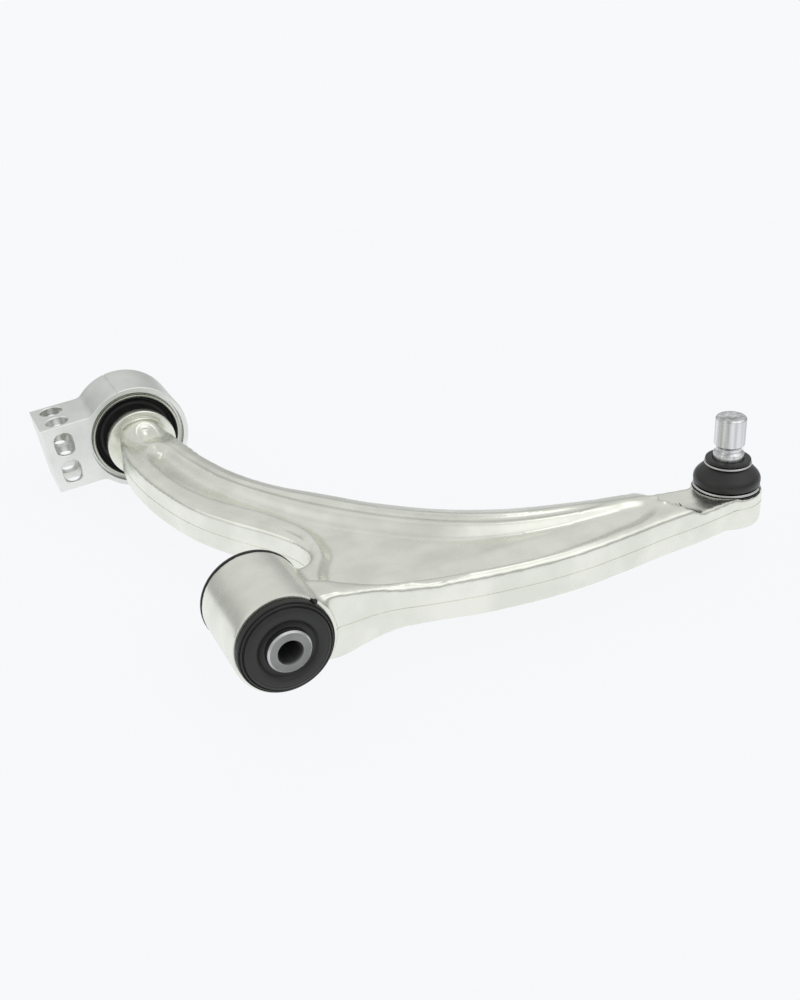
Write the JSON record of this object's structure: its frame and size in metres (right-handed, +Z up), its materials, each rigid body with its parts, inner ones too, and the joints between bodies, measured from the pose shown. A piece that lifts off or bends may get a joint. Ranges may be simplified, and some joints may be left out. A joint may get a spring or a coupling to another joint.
{
  "type": "automotive lower control arm",
  "caption": "Forged aluminium front lower control arm with a front bush, a bracket-mounted rear bush and a ball joint with a pinch stud and rubber boot.",
  "frame": {"origin": "under the middle of the whole object, on its lowest plane", "axes": "+X outboard from the front bush to the ball joint, +Y rearward from the front bush to the rear bracket, +Z up along the ball stud"},
  "size_m": [0.4374, 0.4346, 0.0994],
  "materials": {
    "forged_aluminium": "forged, blasted and bright, satin with soft reflections",
    "bracket_aluminium": "extruded and sawn, satin",
    "machined_steel": "turned, satin",
    "plated_steel": "zinc plated",
    "ring_steel": "bright spring wire",
    "rubber": "moulded black rubber, matt with a soft sheen",
    "boot_rubber": "smooth moulded black rubber",
    "plastic": "natural acetal, moulded"
  },
  "bodies": {
    "arm": {"arm_forging": "forged_aluminium", "front_bush_outer_sleeve": "plated_steel", "front_bush_rubber": "rubber", "rear_bush_inner_sleeve": "machined_steel", "rear_washer": "plated_steel", "rear_nut": "plated_steel", "ball_seat": "plastic", "ball_cover_plate": "plated_steel", "dust_boot": "boot_rubber", "boot_lower_ring": "ring_steel"},
    "front_pivot": {"front_bush_inner_sleeve": "machined_steel"},
    "rear_mount": {"rear_bracket": "bracket_aluminium", "rear_bush_outer_sleeve": "plated_steel", "rear_bush_upper_channel_shell": "plastic", "rear_bush_lower_channel_shell": "plastic", "rear_bush_cage": "machined_steel", "rear_bush_rubber": "rubber"},
    "boot_neck": {"boot_upper_ring": "ring_steel"},
    "stud": {"ball_stud": "machined_steel"}
  },
  "joints": [
    {"name": "front_bush_twist", "type": "hinge", "parent": "arm", "child": "front_pivot", "pos_m": [-0.14561, -0.17325, 0.03967], "axis": [0, 1, 0], "range_deg": [-20, 20], "stiffness_Nm_per_rad": 30},
    {"name": "rear_bush_twist", "type": "hinge", "parent": "arm", "child": "rear_mount", "pos_m": [-0.14531, 0.16755, 0.04237], "axis": [0, 1, 0], "range_deg": [-15, 15], "stiffness_Nm_per_rad": 45},
    {"name": "stud_tilt", "type": "hinge", "parent": "arm", "child": "boot_neck", "pos_m": [0.19419, -0.17765, 0.03617], "axis": [0, 1, 0], "range_deg": [-20, 20], "deforming": ["dust_boot"]},
    {"name": "stud_spin", "type": "hinge", "parent": "boot_neck", "child": "stud", "pos_m": [0.19419, -0.17765, 0.03617], "axis": [0, 0, 1], "continuous": true}
  ]
}
